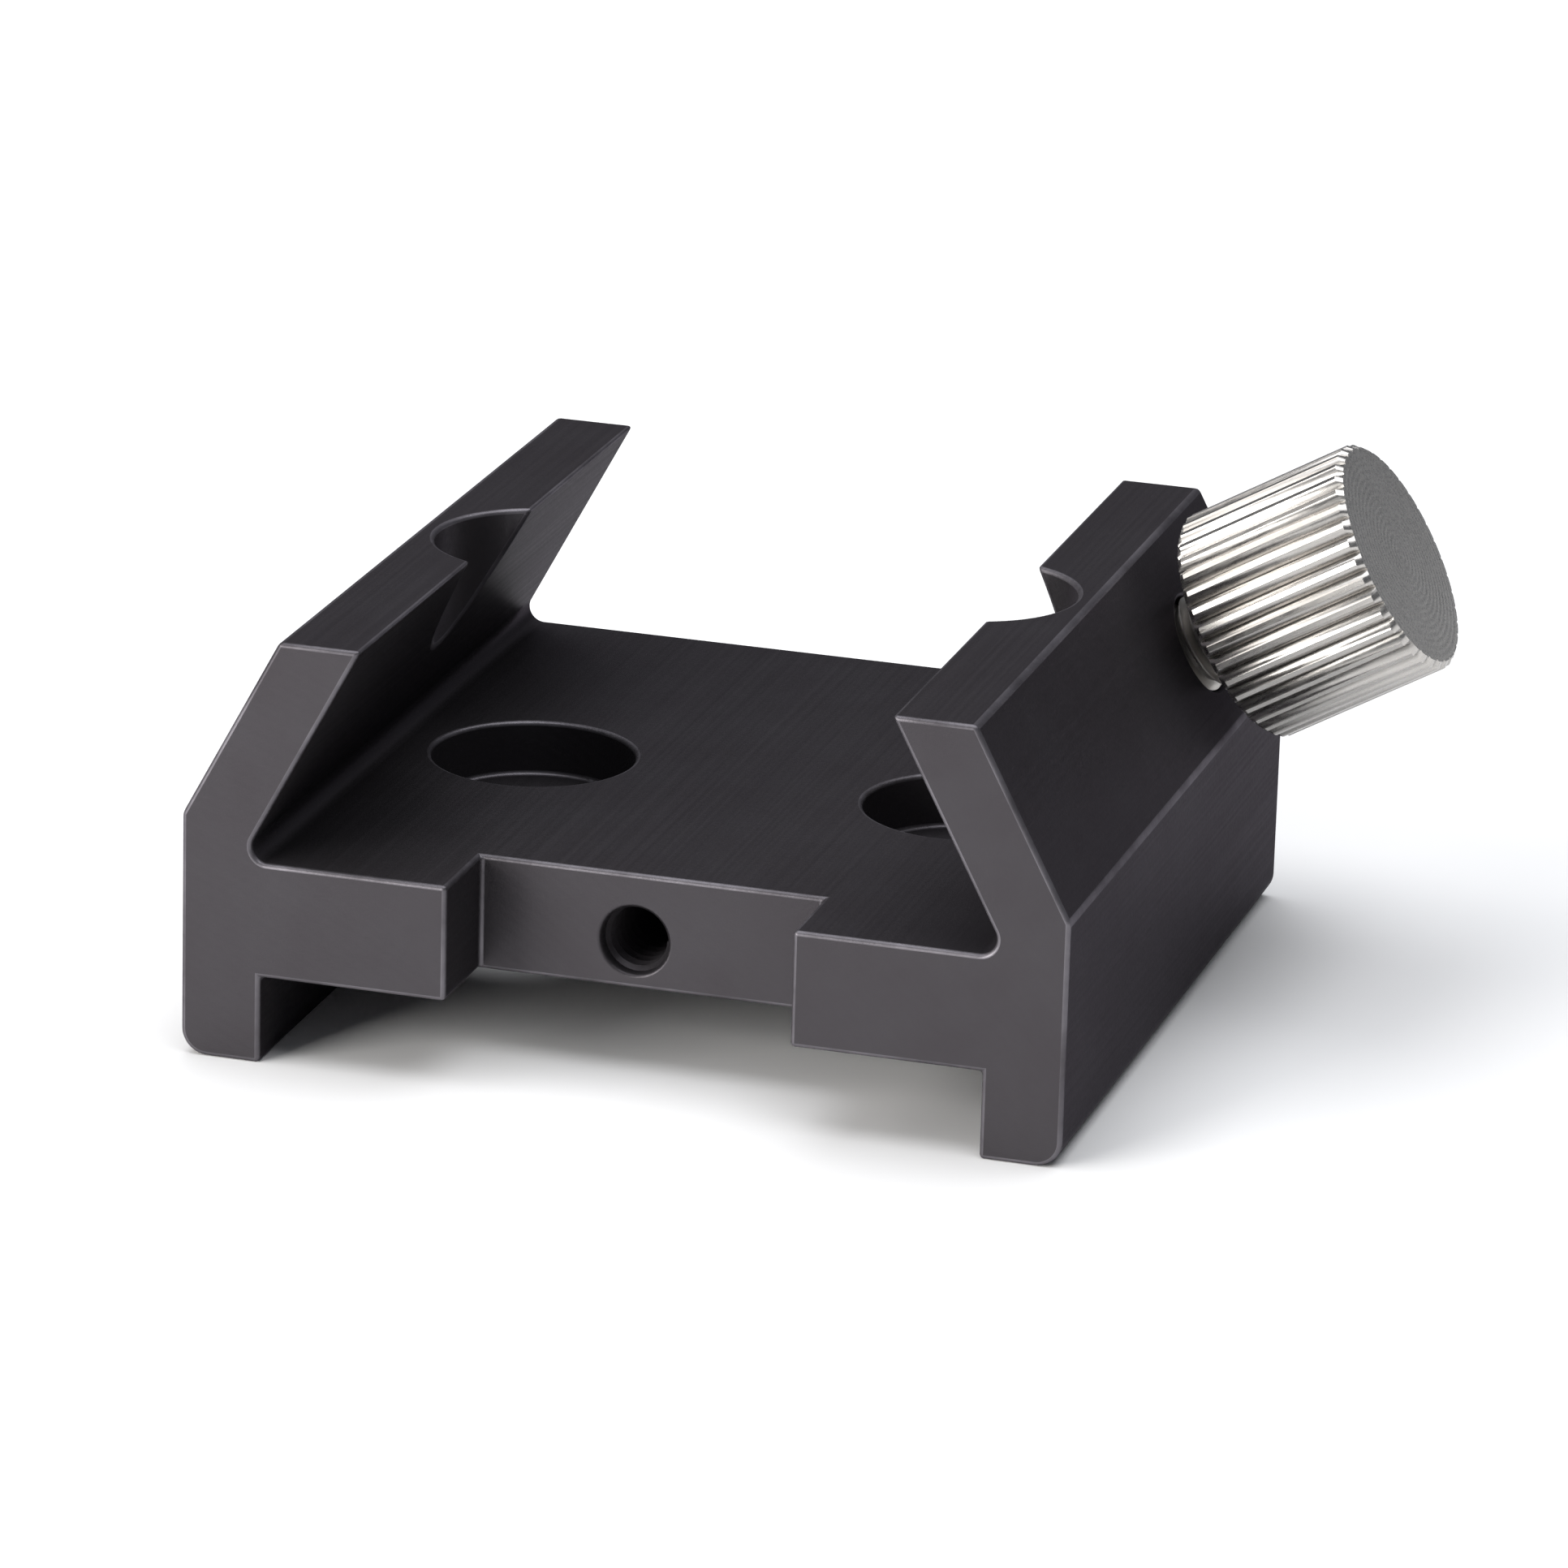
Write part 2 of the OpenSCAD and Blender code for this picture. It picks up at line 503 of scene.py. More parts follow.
@dataclass(frozen=True)
class TurnedMetal(Finish):
    """Metal turned on a lathe and plated: what the screw's finishes share.

    The eye sees bright crests over greyer roots: painted shade darkens the colour towards the roots of the knurl
    and thread, where they lie in shade.
    The tool leaves fine rings on the faces square to the axis, and the plating
    clouds slightly.
    """

    axis_origin: Triple
    axis_tilt: float
    plate: str
    clouded_plate: str
    # Colour of the painted shade in the knurl's grooves and the thread's roots
    painted_root_shade: str
    roughness: tuple[float, float]
    tool_mark_mm: float = 0.35
    cloud_mm: float = 2.5
    # Hairlines run along the axis
    scratch_mm: Triple = (0.12, 0.192, 1.08)
    scratch_share: float = 0.5
    # Depths at which the painted shade in the roots starts and is full, and how much it then darkens
    painted_shade_depths: tuple[float, float] = (0.35, 0.95)
    painted_shade_strength: float = 0.85
    bump_mm: float = 0.008
    bump_strength: float = 0.5

    def shade(self, tree: bpy.types.NodeTree, shader: bpy.types.Node) -> None:
        """Lays tool rings, clouding, hairline scratches and painted shade in the roots.

        Args:
            tree: Tree of the material.
            shader: Its Principled shader.
        """
        place = add(tree, "TexCoord")
        lathe = add(
            tree,
            "Mapping",
            {"vector_type": "TEXTURE"},
            {
                "Vector": place.outputs["Object"],
                "Location": self.axis_origin,
                "Rotation": (0, self.axis_tilt, 0),
            },
        )
        tool_rings = add(
            tree,
            "TexWave",
            {"wave_type": "RINGS", "rings_direction": "Z"},
            {
                "Vector": lathe.outputs[0],
                "Scale": rings_apart(self.tool_mark_mm),
                "Distortion": 0.6,
                "Detail": 1.0,
            },
        )
        scratch_space = add(
            tree,
            "Mapping",
            inputs={"Vector": lathe.outputs[0], "Scale": stretched(self.scratch_mm)},
        )
        scratches = add(
            tree, "TexNoise", inputs={"Vector": scratch_space.outputs[0], "Scale": 1.0, "Detail": 2.0}
        )
        clouds = add(
            tree,
            "TexNoise",
            inputs={"Vector": lathe.outputs[0], "Scale": repeats(self.cloud_mm), "Detail": 3.0},
        )
        clouded = add(
            tree,
            "Mix",
            {"data_type": "RGBA"},
            {0: clouds.outputs[0], MIX_A: linear(self.plate), MIX_B: linear(self.clouded_plate)},
        )
        # Painted shade: the colour darkens towards the roots of the knurl and thread
        depth = add(tree, "Attribute", {"attribute_name": Mask.ROOT.value})
        darkened_roots = add(
            tree,
            "MapRange",
            inputs={
                "Value": depth.outputs["Fac"],
                "From Min": self.painted_shade_depths[0],
                "From Max": self.painted_shade_depths[1],
                "To Max": self.painted_shade_strength,
            },
        )
        colour = add(
            tree,
            "Mix",
            {"data_type": "RGBA"},
            {0: darkened_roots.outputs[0], MIX_A: clouded.outputs[MIX_COLOUR], MIX_B: linear(self.painted_root_shade)},
        )
        surface = add(
            tree,
            "Mix",
            inputs={
                0: self.scratch_share,
                BLEND_A: tool_rings.outputs["Fac"],
                BLEND_B: scratches.outputs[0],
            },
        )
        gloss = add(
            tree,
            "MapRange",
            inputs={
                "Value": scratches.outputs[0],
                "From Min": NOISE_SPAN[0],
                "From Max": NOISE_SPAN[1],
                "To Min": self.roughness[0],
                "To Max": self.roughness[1],
            },
        )
        relief = add(
            tree,
            "Bump",
            inputs={
                "Height": surface.outputs[0],
                "Strength": self.bump_strength,
                "Distance": self.bump_mm * MM,
            },
        )
        tree.links.new(colour.outputs[MIX_COLOUR], shader.inputs["Base Color"])
        tree.links.new(gloss.outputs[0], shader.inputs["Roughness"])
        tree.links.new(relief.outputs[0], shader.inputs["Normal"])
        shader.inputs["Metallic"].default_value = 1.0


@dataclass(frozen=True)
class NaturalNylon(Finish):
    """Undyed moulded nylon.

    It is milky and slightly see-through, so light bleeds under its edges, and
    its moulded skin has a fine orange-peel grain and faint grey smudges.
    """

    name: str = "natural_nylon"
    resin: str = "#e4dfd0"
    smudge: str = "#bfb9a9"
    roughness: tuple[float, float] = (0.34, 0.56)
    refraction: float = 1.53
    grain_mm: float = 0.25
    bump_mm: float = 0.01
    bump_strength: float = 0.4
    smudge_mm: float = 1.2
    # Noise values between which a smudge goes from none to full
    smudge_patches: tuple[float, float] = (0.5, 0.8)
    bleed_mm: float = 0.6
    bleed_share: float = 0.3
    # Red light travels farther in the resin than blue
    bleed_by_colour: Triple = (1.0, 0.8, 0.6)

    def shade(self, tree: bpy.types.NodeTree, shader: bpy.types.Node) -> None:
        """Lays moulded grain and smudges over a milky body.

        Args:
            tree: Tree of the material.
            shader: Its Principled shader.
        """
        place = add(tree, "TexCoord")
        grain = add(
            tree,
            "TexNoise",
            inputs={"Vector": place.outputs["Object"], "Scale": repeats(self.grain_mm)},
        )
        smudges = add(
            tree,
            "TexNoise",
            inputs={
                "Vector": place.outputs["Object"],
                "Scale": repeats(self.smudge_mm),
                "Detail": 4.0,
            },
        )
        amount = add(
            tree,
            "MapRange",
            inputs={
                "Value": smudges.outputs[0],
                "From Min": self.smudge_patches[0],
                "From Max": self.smudge_patches[1],
            },
        )
        colour = add(
            tree,
            "Mix",
            {"data_type": "RGBA"},
            {0: amount.outputs[0], MIX_A: linear(self.resin), MIX_B: linear(self.smudge)},
        )
        gloss = add(
            tree,
            "MapRange",
            inputs={
                "Value": grain.outputs[0],
                "To Min": self.roughness[0],
                "To Max": self.roughness[1],
            },
        )
        relief = add(
            tree,
            "Bump",
            inputs={
                "Height": grain.outputs[0],
                "Strength": self.bump_strength,
                "Distance": self.bump_mm * MM,
            },
        )
        tree.links.new(colour.outputs[MIX_COLOUR], shader.inputs["Base Color"])
        tree.links.new(gloss.outputs[0], shader.inputs["Roughness"])
        tree.links.new(relief.outputs[0], shader.inputs["Normal"])
        shader.inputs["IOR"].default_value = self.refraction
        shader.inputs["Subsurface Weight"].default_value = self.bleed_share
        shader.inputs["Subsurface Radius"].default_value = self.bleed_by_colour
        shader.inputs["Subsurface Scale"].default_value = self.bleed_mm * MM


@dataclass(frozen=True)
class StudioPaper(Finish):
    """Matt white background paper, with a tooth too faint to draw the eye."""

    name: str = "studio_paper"
    white: str = "#fafafa"
    off_white: str = "#f6f6f5"
    tooth_mm: float = 40
    roughness: float = 0.9
    specular_level: float = 0.1

    def shade(self, tree: bpy.types.NodeTree, shader: bpy.types.Node) -> None:
        """Lays two close whites in soft patches.

        Args:
            tree: Tree of the material.
            shader: Its Principled shader.
        """
        place = add(tree, "TexCoord")
        tooth = add(
            tree,
            "TexNoise",
            inputs={"Vector": place.outputs["Object"], "Scale": repeats(self.tooth_mm)},
        )
        colour = add(
            tree,
            "Mix",
            {"data_type": "RGBA"},
            {0: tooth.outputs[0], MIX_A: linear(self.white), MIX_B: linear(self.off_white)},
        )
        tree.links.new(colour.outputs[MIX_COLOUR], shader.inputs["Base Color"])
        shader.inputs["Roughness"].default_value = self.roughness
        shader.inputs["Specular IOR Level"].default_value = self.specular_level


# ------------------------------------------------------------- screw's axis


@dataclass(frozen=True)
class ScrewAxis:
    """The slanted line that the thumbscrew turns about."""

    origin: Vector
    direction: Vector

    @classmethod
    def from_joints(cls, joints: list[dict[str, Any]]) -> "ScrewAxis":
        """Reads the axis from the frame's turning joint.

        Args:
            joints: Joints of the frame.

        Returns:
            The axis, with its origin on the rail's outer face.
        """
        turn = next(joint for joint in joints if joint["name"] == "screw_turn")
        return cls(Vector(turn["pos_m"]), Vector(turn["axis"]).normalized())

    @property
    def tilt(self) -> float:
        """Angle about Y that turns +Z onto the axis, in radians."""
        return math.atan2(self.direction.x, self.direction.z)

    @property
    def placement(self) -> Matrix:
        """Matrix that puts a piece made along +Z onto the axis."""
        return Matrix.Translation(self.origin) @ Matrix.Rotation(self.tilt, 4, "Y")

    def span_mm(self, node: Node) -> tuple[float, float]:
        """Measures where a CAD node starts and ends along the axis.

        Args:
            node: Node to measure.

        Returns:
            Its lowest and highest place along the axis, in millimetres.
        """
        vertices = frame["nodes"][node.value].data.vertices
        along = [(vertex.co - self.origin).dot(self.direction) for vertex in vertices]
        return min(along) / MM, max(along) / MM

    def radius_mm(self, node: Node) -> float:
        """Measures a CAD node's largest radius about the axis, in millimetres."""
        vertices = frame["nodes"][node.value].data.vertices
        return max((v.co - self.origin).cross(self.direction).length for v in vertices) / MM


# ------------------------------------------------------------ sub-assemblies


@dataclass
class ShoeBase:
    """The extruded and milled base, and the thread cut in its front hole."""

    finish: BlackAnodisedAluminium
    edge_break_mm: float = 0.22
    edge_segments: int = 3
    # An edge that bends more than this is broken
    sharp_edge_deg: float = 20
    # An edge that bends less than this lies in a flat face, and is dissolved
    flat_edge_deg: float = 0.5
    # Radius round the tapped hole's mouth in which no edge is broken
    mouth_reach_mm: float = 2.15
    thread_pitch_mm: float = 0.7
    thread_crest_r_mm: float = 1.48
    thread_wall_r_mm: float = 1.7
    # Half of a ridge's foot, and where the first ridge starts, as shares of the pitch
    thread_half_foot: float = 0.42
    thread_lead_in: float = 0.6
    thread_turns: int = 11
    thread_steps: int = 32
    # Edges that bend more than these are shaded sharp
    base_crease_deg: float = 55
    thread_crease_deg: float = 50

    def is_sharp(self, edge: bmesh.types.BMEdge, mouth: Vector) -> bool:
        """Tells whether an edge is broken with a file after milling.

        Args:
            edge: Edge of the CAD base.
            mouth: Centre of the tapped hole's mouth, whose edges have a chamfer already.

        Returns:
            Whether it bends sharply and isn't at the mouth.
        """
        if not edge.is_manifold or edge.calc_face_angle() < math.radians(self.sharp_edge_deg):
            return False
        return all((vert.co - mouth).length > self.mouth_reach_mm * MM for vert in edge.verts)

    def build_base(self, mouth: Vector) -> bpy.types.Object:
        """Breaks the sharp edges of the CAD base, and marks where they were.

        Args:
            mouth: Centre of the tapped hole's mouth.

        Returns:
            The base.
        """
        mesh = bmesh.new()
        mesh.from_mesh(frame["nodes"][Node.BASE.value].data)
        bmesh.ops.remove_doubles(mesh, verts=mesh.verts, dist=MERGE_DISTANCE)
        flat = math.radians(self.flat_edge_deg)
        bmesh.ops.dissolve_limit(mesh, angle_limit=flat, verts=mesh.verts, edges=mesh.edges)
        broken_edge = mesh.faces.layers.float.new(Mask.EDGE.value)
        sharp = [edge for edge in mesh.edges if self.is_sharp(edge, mouth)]
        bevelled = bmesh.ops.bevel(
            mesh,
            geom=sharp,
            offset=self.edge_break_mm * MM,
            offset_type="OFFSET",
            affect="EDGES",
            segments=self.edge_segments,
            profile=0.5,
            material=-1,
        )
        for face in bevelled["faces"]:
            face[broken_edge] = 1.0
        base = make_piece(mesh, "shoe_base", self.base_crease_deg)
        keep_flats_flat(base)
        return base

    def build_front_thread(self, mouth: Vector) -> bpy.types.Object:
        """Cuts a helical ridge for the tapped hole in the notch.

        Args:
            mouth: Centre of the hole's mouth; the hole runs along +Y.

        Returns:
            The thread.
        """
        mesh = bmesh.new()
        pitch = self.thread_pitch_mm
        half = pitch * self.thread_half_foot
        ridge = [(self.thread_wall_r_mm, -half), (self.thread_crest_r_mm, 0), (self.thread_wall_r_mm, half)]
        corners = [mesh.verts.new((r * MM, 0, z * MM)) for r, z in ridge]
        start = mesh.faces.new(corners)
        outline = [start, *corners, *start.edges]
        helix_from(mesh, outline, pitch, self.thread_turns, self.thread_steps)
        bmesh.ops.recalc_face_normals(mesh, faces=mesh.faces)
        lead_in = Matrix.Translation((0, 0, pitch * self.thread_lead_in * MM))
        placement = Matrix.Translation(mouth) @ Matrix.Rotation(-math.pi / 2, 4, "X") @ lead_in
        bmesh.ops.transform(mesh, matrix=placement, verts=mesh.verts)
        return make_piece(mesh, "front_hole_thread", self.thread_crease_deg)

    def dress(self, pieces: list[bpy.types.Object]) -> None:
        """Finishes the pieces and fixes them to the shoe.

        Args:
            pieces: Base and thread.
        """
        material = self.finish.material()
        for piece in pieces:
            piece.data.materials.append(material)
            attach(piece, Body.SHOE.value)

    def build(self) -> list[bpy.types.Object]:
        """Builds and dresses the base with its thread.

        Returns:
            Both pieces.
        """
        tapped = next(m for m in frame["record"]["mounts"] if m["name"] == "front_tapped_hole")
        half_length = tapped["dims"]["length_mm"] / 2 * MM
        mouth = Vector(tapped["pos_m"]) + Vector(tapped["axis"]) * half_length
        base = self.build_base(mouth)
        thread = self.build_front_thread(mouth)
        self.dress([base, thread])
        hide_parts(Node.BASE.value)
        return [base, thread]


@dataclass
class Thumbscrew:
    """The knurled head and the threaded stud pressed into it."""

    axis: ScrewAxis
    head_finish: TurnedMetal
    stud_finish: TurnedMetal
    ridges: int = 38
    groove_depth_mm: float = 0.4
    # Share of a ridge's pitch that stays flat on top
    crest_share: float = 0.34
    chamfer_mm: float = 0.3
    points_per_ridge: int = 8
    thread_pitch_mm: float = 0.8
    thread_depth_mm: float = 0.42
    # One tooth of the thread: how far out it is, at shares of the pitch
    tooth: tuple[tuple[float, float], ...] = ((0, 0), (0, 0.12), (1, 0.45), (1, 0.55), (0, 0.88), (0, 1))
    thread_steps: int = 48
    # How far the lead-in chamfer reaches, and how far it goes below the root
    end_chamfer_mm: float = 0.9
    end_inset_mm: float = 0.1
    post_r_mm: float = 1.0
    post_l_mm: float = 1.2
    # Edges that bend more than these are shaded sharp
    head_crease_deg: float = 28
    stud_crease_deg: float = 35

    def knurl_radius(self, index: int, crest_r: float, root_r: float) -> float:
        """Radius of one point of the knurl's outline.

        Args:
            index: Number of the point in its ring.
            crest_r: Radius on top of the ridges.
            root_r: Radius at the bottom of the grooves.

        Returns:
            The point's radius.
        """
        phase = (index % self.points_per_ridge) / self.points_per_ridge
        from_groove = abs(phase - 0.5) * 2
        share = min(1.0, from_groove / (1 - self.crest_share))
        return root_r + (crest_r - root_r) * share

    def build_head(self) -> bpy.types.Object:
        """Builds the head by extruding a knurled ring from rim to rim.

        Returns:
            The head.
        """
        low, high = self.axis.span_mm(Node.HEAD)
        crest_r = self.axis.radius_mm(Node.HEAD)
        root_r = crest_r - self.groove_depth_mm
        rim_r = crest_r - self.chamfer_mm
        rings = (
            (low, rim_r),
            (low + self.chamfer_mm, crest_r),
            (high - self.chamfer_mm, crest_r),
            (high, rim_r),
        )
        mesh = bmesh.new()
        depth = mesh.verts.layers.float.new(Mask.ROOT.value)
        count = self.ridges * self.points_per_ridge
        loops = [bmesh.ops.create_circle(mesh, segments=count, radius=crest_r * MM)["verts"]]
        for _ in rings[1:]:
            made = bmesh.ops.extrude_edge_only(mesh, edges=self.edges_of(loops[-1]))["geom"]
            loops.append([v for v in made if isinstance(v, bmesh.types.BMVert)])
        for loop, (z, ring_r) in zip(loops, rings):
            bmesh.ops.translate(mesh, vec=(0, 0, z * MM), verts=loop)
            for vert in loop:
                turn = round(math.atan2(vert.co.y, vert.co.x) / math.tau * count) % count
                radius = min(ring_r, self.knurl_radius(turn, crest_r, root_r))
                bmesh.ops.scale(mesh, vec=(radius / crest_r, radius / crest_r, 1), verts=[vert])
                vert[depth] = (ring_r - radius) / self.groove_depth_mm
        for loop in (loops[0], loops[-1]):
            bmesh.ops.edgeloop_fill(mesh, edges=self.edges_of(loop))
        merge_and_face_outwards(mesh)
        bmesh.ops.transform(mesh, matrix=self.axis.placement, verts=mesh.verts)
        return make_piece(mesh, "knurled_head", self.head_crease_deg)

    @staticmethod
    def edges_of(loop: list[bmesh.types.BMVert]) -> list[bmesh.types.BMEdge]:
        """Edges that lie wholly in a ring of points."""
        inside = set(loop)
        return list({e for v in loop for e in v.link_edges if e.other_vert(v) in inside})

    def build_stud(self) -> bpy.types.Object:
        """Cuts the stud's thread as a helix, trims it and adds the tip's post.

        Returns:
            The stud.
        """
        low, high = self.axis.span_mm(Node.STUD)
        crest_r = self.axis.radius_mm(Node.STUD)
        shoulder = low + self.post_l_mm
        root_r = crest_r - self.thread_depth_mm
        pitch = self.thread_pitch_mm
        mesh = bmesh.new()
        depth = mesh.verts.layers.float.new(Mask.ROOT.value)
        # Two whole turns past the shoulder, so that the cut there meets a full ring
        start = shoulder - 2 * pitch
        corners = []
        for out, share in self.tooth:
            radius = root_r + self.thread_depth_mm * out
            corners.append(mesh.verts.new((radius * MM, 0, (start + share * pitch) * MM)))
            corners[-1][depth] = 1 - out
        edges = [mesh.edges.new(pair) for pair in zip(corners, corners[1:])]
        turns = math.ceil((high - start) / pitch) + 1
        helix_from(mesh, corners + edges, pitch, turns, self.thread_steps)
        bmesh.ops.remove_doubles(mesh, verts=mesh.verts, dist=MERGE_DISTANCE)
        self.trim(mesh, shoulder, keep_above=True)
        self.trim(mesh, high, keep_above=False)
        end_r = root_r - self.end_inset_mm
        self.chamfer_end(mesh, shoulder, end_r)
        bmesh.ops.recalc_face_normals(mesh, faces=mesh.faces)
        self.grow_post(mesh, end_r)
        bmesh.ops.transform(mesh, matrix=self.axis.placement, verts=mesh.verts)
        return make_piece(mesh, "threaded_stud", self.stud_crease_deg)

    @staticmethod
    def trim(mesh: bmesh.types.BMesh, z_mm: float, keep_above: bool) -> None:
        """Cuts the helix square to its axis and closes the cut.

        Args:
            mesh: Thread along +Z.
            z_mm: Place of the cut.
            keep_above: Whether the part above the cut stays.
        """
        cut = bmesh.ops.bisect_plane(
            mesh,
            geom=[*mesh.verts, *mesh.edges, *mesh.faces],
            dist=CUT_DISTANCE,
            plane_co=(0, 0, z_mm * MM),
            plane_no=(0, 0, 1),
            clear_outer=not keep_above,
            clear_inner=keep_above,
        )
        rim = [e for e in cut["geom_cut"] if isinstance(e, bmesh.types.BMEdge) and e.is_boundary]
        bmesh.ops.edgeloop_fill(mesh, edges=rim)

    def chamfer_end(self, mesh: bmesh.types.BMesh, shoulder: float, end_r: float) -> None:
        """Tapers the first thread into the shoulder, as a lead-in chamfer at 45 degrees does.

        Args:
            mesh: Thread along +Z.
            shoulder: Place of its end, in millimetres.
            end_r: Radius of the chamfer at that end.
        """
        for vert in mesh.verts:
            above = vert.co.z / MM - shoulder
            allowed = (end_r + max(0.0, above)) * MM
            across = math.hypot(vert.co.x, vert.co.y)
            if above < self.end_chamfer_mm and across > allowed:
                vert.co.x *= allowed / across
                vert.co.y *= allowed / across

    def grow_post(self, mesh: bmesh.types.BMesh, end_r: float) -> None:
        """Grows the post that the tip swivels on out of the stud's end.

        Args:
            mesh: Closed stud along +Z.
            end_r: Radius of the end that the post grows from.
        """
        end = min(mesh.faces, key=lambda face: (face.calc_center_median().z, -face.calc_area()))
        ratio = self.post_r_mm / end_r
        for scale, drop in ((ratio, 0.0), (1.0, self.post_l_mm)):
            made = bmesh.ops.extrude_face_region(mesh, geom=[end])["geom"]
            bmesh.ops.delete(mesh, geom=[end], context="FACES_ONLY")
            verts = [v for v in made if isinstance(v, bmesh.types.BMVert)]
            end = next(f for f in made if isinstance(f, bmesh.types.BMFace))
            bmesh.ops.scale(mesh, vec=(scale, scale, 1), verts=verts)
            bmesh.ops.translate(mesh, vec=(0, 0, -drop * MM), verts=verts)

    def dress(self, head: bpy.types.Object, stud: bpy.types.Object) -> None:
        """Finishes the two pieces and fixes them to the turning body.

        Args:
            head: Knurled head.
            stud: Threaded stud.
        """
        head.data.materials.append(self.head_finish.material())
        stud.data.materials.append(self.stud_finish.material())
        for piece in (head, stud):
            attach(piece, Body.THUMBSCREW.value)
        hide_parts(Node.HEAD.value)
        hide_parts(Node.STUD.value)

    def build(self) -> list[bpy.types.Object]:
        """Builds and dresses the thumbscrew.

        Returns:
            Head and stud.
        """
        head = self.build_head()
        stud = self.build_stud()
        self.dress(head, stud)
        return [head, stud]


@dataclass
class PressureTip:
    """The nylon tip that swivels on the stud's post."""

    axis: ScrewAxis
    finish: NaturalNylon
    nose_r_mm: float = 0.5
    nose_steps: int = 6
    socket_r_mm: float = 1.05
    socket_depth_mm: float = 1.2
    rim_mm: float = 0.12
    steps: int = 64
    # Edges that bend more than this are shaded sharp
    crease_deg: float = 30

    def outline(self) -> list[tuple[float, float]]:
        """Works out the tip's outline from nose to socket.

        Returns:
            Radius and height of each corner, in millimetres.
        """
        low, high = self.axis.span_mm(Node.TIP)
        radius = self.axis.radius_mm(Node.TIP)
        socket_floor = high - self.socket_depth_mm
        nose = [
            (
                radius - self.nose_r_mm + self.nose_r_mm * math.sin(turn),
                low + self.nose_r_mm - self.nose_r_mm * math.cos(turn),
            )
            for turn in (math.pi / 2 * i / self.nose_steps for i in range(self.nose_steps + 1))
        ]
        return [
            (0.0, low),
            *nose,
            (radius, high - self.rim_mm),
            (radius - self.rim_mm, high),
            (self.socket_r_mm, high),
            (self.socket_r_mm, socket_floor),
            (0.0, socket_floor),
        ]

    def build_tip(self) -> bpy.types.Object:
        """Turns the tip and puts it on the screw's axis.

        Returns:
            The tip.
        """
        mesh = spin_line(self.outline(), self.steps)
        bmesh.ops.transform(mesh, matrix=self.axis.placement, verts=mesh.verts)
        return make_piece(mesh, "nylon_tip", self.crease_deg)

    def dress(self, tip: bpy.types.Object) -> None:
        """Finishes the tip and fixes it to the sliding body.

        Args:
            tip: Nylon tip.
        """
        tip.data.materials.append(self.finish.material())
        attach(tip, Body.TIP.value)
        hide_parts(Node.TIP.value)

    def build(self) -> list[bpy.types.Object]:
        """Builds and dresses the tip.

        Returns:
            The tip, as the only piece.
        """
        tip = self.build_tip()
        self.dress(tip)
        return [tip]


# -------------------------------------------------------------------- studio


@dataclass(frozen=True)
class Softbox:
    """A square diffuse light aimed at the object, with its place and side in metres."""

    name: str
    place: Triple
    side: float
    radiance: float
    tint: str = "#ffffff"

    def build(self, aim: Vector) -> None:
        """Hangs the softbox.

        Args:
            aim: Point that it faces.
        """
        data = bpy.data.lights.new(self.name, "AREA")
        data.shape = "SQUARE"
        data.size = self.side
        data.energy = self.radiance * math.pi * self.side**2
        data.color = linear(self.tint)[:3]
        light = bpy.data.objects.new(self.name, data)
        light.location = self.place
        light.visible_camera = False
        light.rotation_euler = (aim - light.location).to_track_quat("-Z", "Y").to_euler()
        bpy.context.scene.collection.objects.link(light)


@dataclass(frozen=True)
class Viewpoint:
    """Where the camera stands, as angles and a distance from its aim."""

    azimuth_deg: float = 16.40
    elevation_deg: float = 18.41
    roll_deg: float = 1.63
    distance_mm: float = 413.4
    lens_mm: float = 193.1
    sensor_mm: float = 36
    aim_mm: Triple = (2.37, -1.80, 6.41)

    def build(self) -> None:
        """Stands the camera there and makes it the scene's."""
        azimuth, elevation = math.radians(self.azimuth_deg), math.radians(self.elevation_deg)
        back = Vector(
            (
                math.sin(azimuth) * math.cos(elevation),
                -math.cos(azimuth) * math.cos(elevation),
                math.sin(elevation),
            )
        )
        data = bpy.data.cameras.new("camera")
        data.lens = self.lens_mm
        data.sensor_width = self.sensor_mm
        data.clip_start = 0.01
        data.clip_end = 20
        camera = bpy.data.objects.new("camera", data)
        aim = Vector(self.aim_mm) * MM
        turned = (-back).to_track_quat("-Z", "Y").to_matrix().to_4x4()
        roll = Matrix.Rotation(math.radians(self.roll_deg), 4, "Z")
        camera.matrix_world = Matrix.Translation(aim + back * self.distance_mm * MM) @ turned @ roll
        bpy.context.scene.collection.objects.link(camera)
        bpy.context.scene.camera = camera


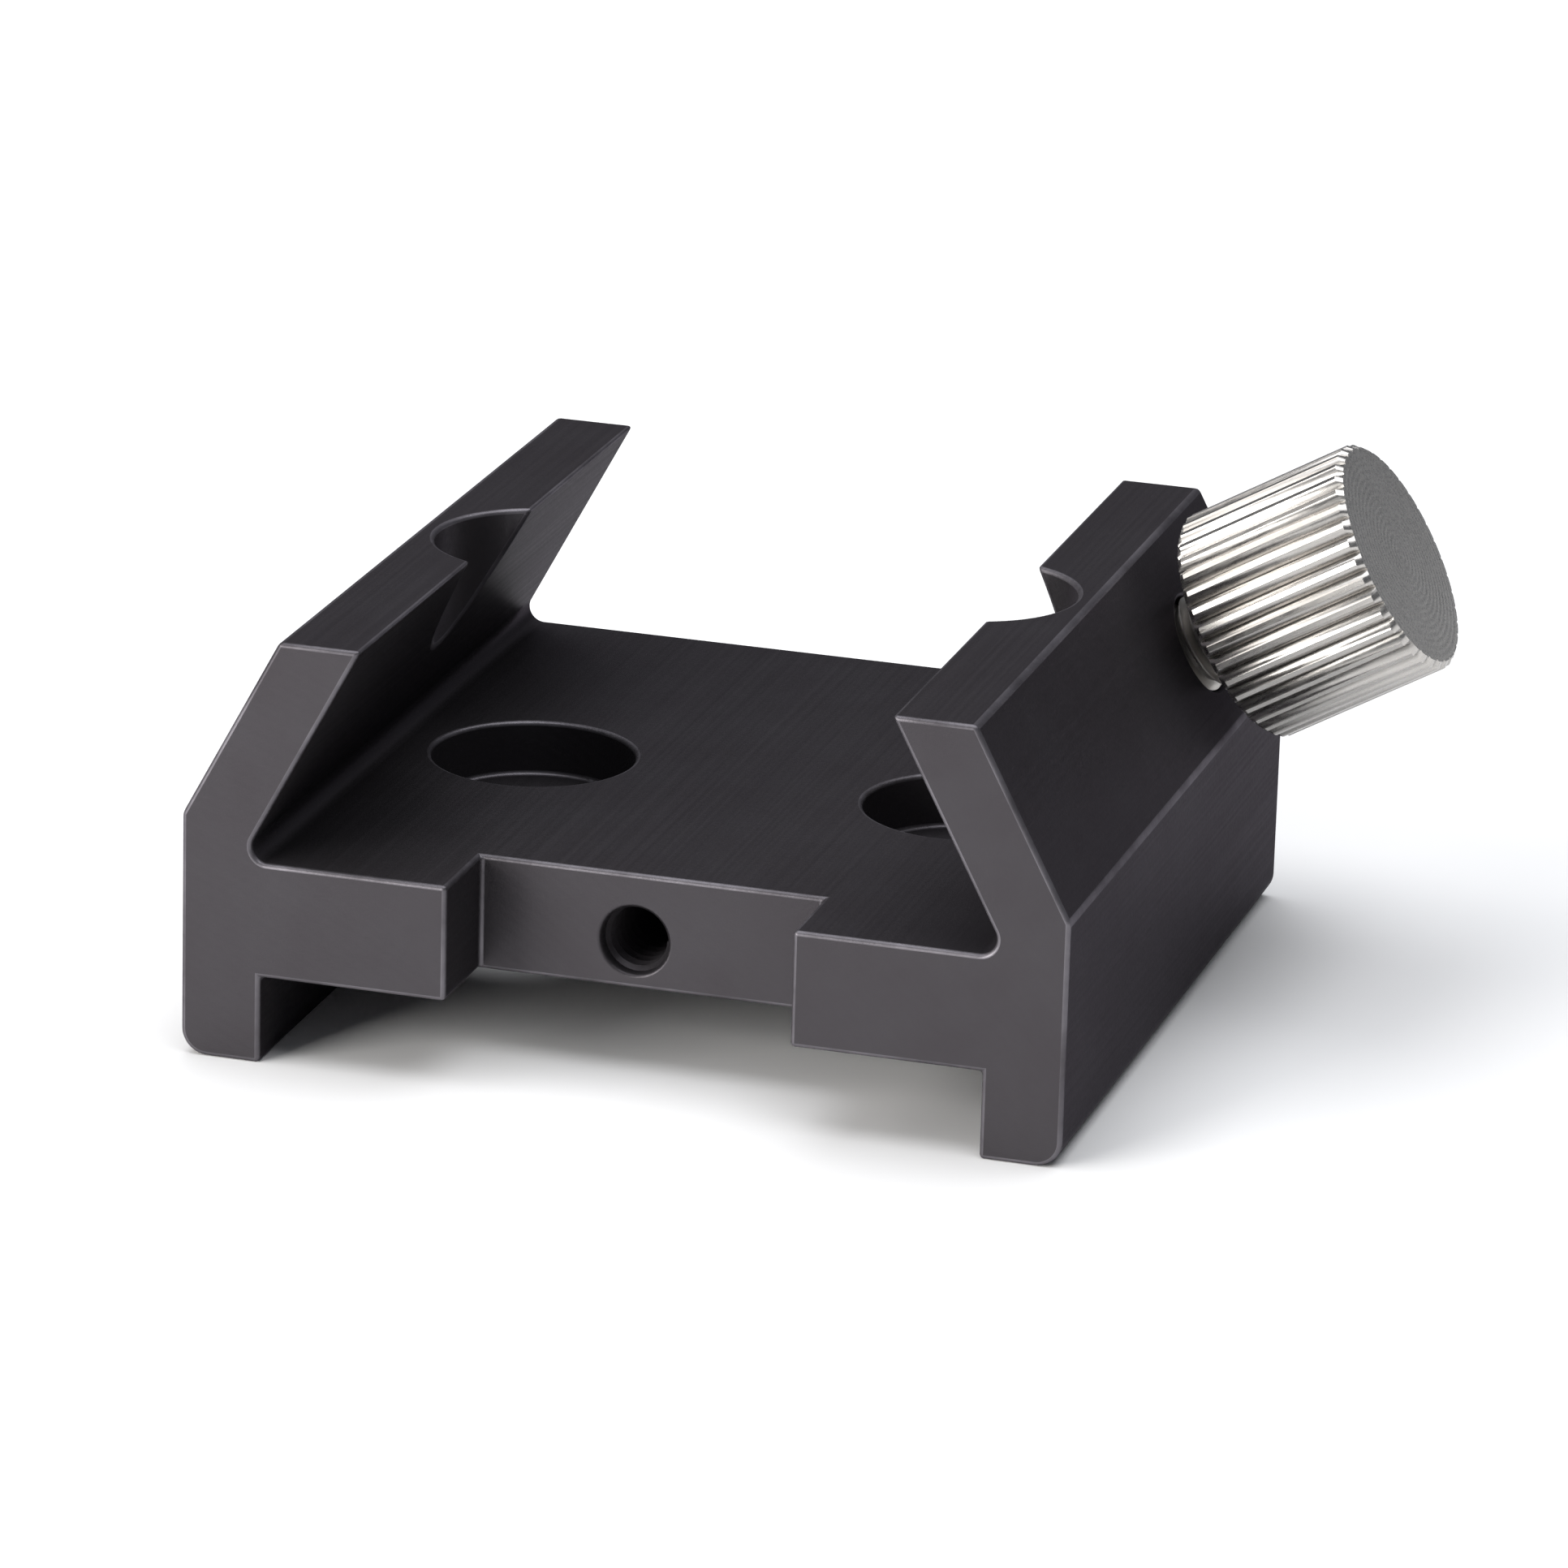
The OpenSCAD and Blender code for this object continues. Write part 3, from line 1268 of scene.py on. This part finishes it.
@dataclass
class Studio:
    """Pale paper floor, soft lights and the camera."""

    viewpoint: Viewpoint
    softboxes: tuple[Softbox, ...]
    floor_side: float = 6.0
    surround: str = "#6e7074"

    def build_floor(self) -> None:
        """Lays the floor under the shoe's feet."""
        mesh = bmesh.new()
        bmesh.ops.create_grid(mesh, x_segments=1, y_segments=1, size=self.floor_side / 2)
        bmesh.ops.translate(mesh, vec=(0, 0, CAD_BOX[0].z), verts=mesh.verts)
        floor = make_piece(mesh, "studio_floor")
        floor.data.materials.append(StudioPaper().material())

    def build_surround(self) -> None:
        """Fills the room with an even grey light."""
        world = bpy.data.worlds.new("studio_surround")
        world.use_nodes = True
        world.node_tree.nodes["Background"].inputs["Color"].default_value = linear(self.surround)
        bpy.context.scene.world = world

    def build(self) -> None:
        """Sets up floor, surround, lights and camera."""
        self.build_floor()
        self.build_surround()
        centre = (CAD_BOX[0] + CAD_BOX[1]) / 2
        for softbox in self.softboxes:
            softbox.build(centre)
        self.viewpoint.build()
        bpy.context.scene.view_settings.view_transform = "Standard"


def main() -> None:
    """Builds the shoe piece by piece, then the studio round it."""
    logging.basicConfig(level=logging.INFO, format="%(name)s: %(message)s")
    axis = ScrewAxis.from_joints(frame["joints"])
    nickel = TurnedMetal(
        name="bright_nickel_plate",
        axis_origin=tuple(axis.origin),
        axis_tilt=axis.tilt,
        plate="#c8c5c1",
        clouded_plate="#b8b5b1",
        # Grey painted shade in the knurl's grooves
        painted_root_shade="#7a7774",
        roughness=(0.22, 0.34),
    )
    steel = TurnedMetal(
        name="plated_steel_thread",
        axis_origin=tuple(axis.origin),
        axis_tilt=axis.tilt,
        plate="#c9c6c1",
        clouded_plate="#b3afaa",
        # Grey painted shade in the thread's roots
        painted_root_shade="#8a8784",
        roughness=(0.30, 0.44),
    )
    sub_assemblies = (
        ShoeBase(BlackAnodisedAluminium()),
        Thumbscrew(axis, head_finish=nickel, stud_finish=steel),
        PressureTip(axis, NaturalNylon()),
    )
    for sub_assembly in sub_assemblies:
        for piece in sub_assembly.build():
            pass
    Studio(
        viewpoint=Viewpoint(),
        softboxes=(
            Softbox("key_softbox", (-0.60, -0.25, 0.42), 0.50, 2.2, "#fffbf7"),
            Softbox("front_softbox", (-0.48, -0.66, 0.22), 0.44, 11.0, "#fffdfa"),
            Softbox("overhead_softbox", (0.02, 0.08, 0.80), 1.0, 2.6, "#fbfcff"),
        ),
    ).build()


if __name__ == "__main__":
    main()
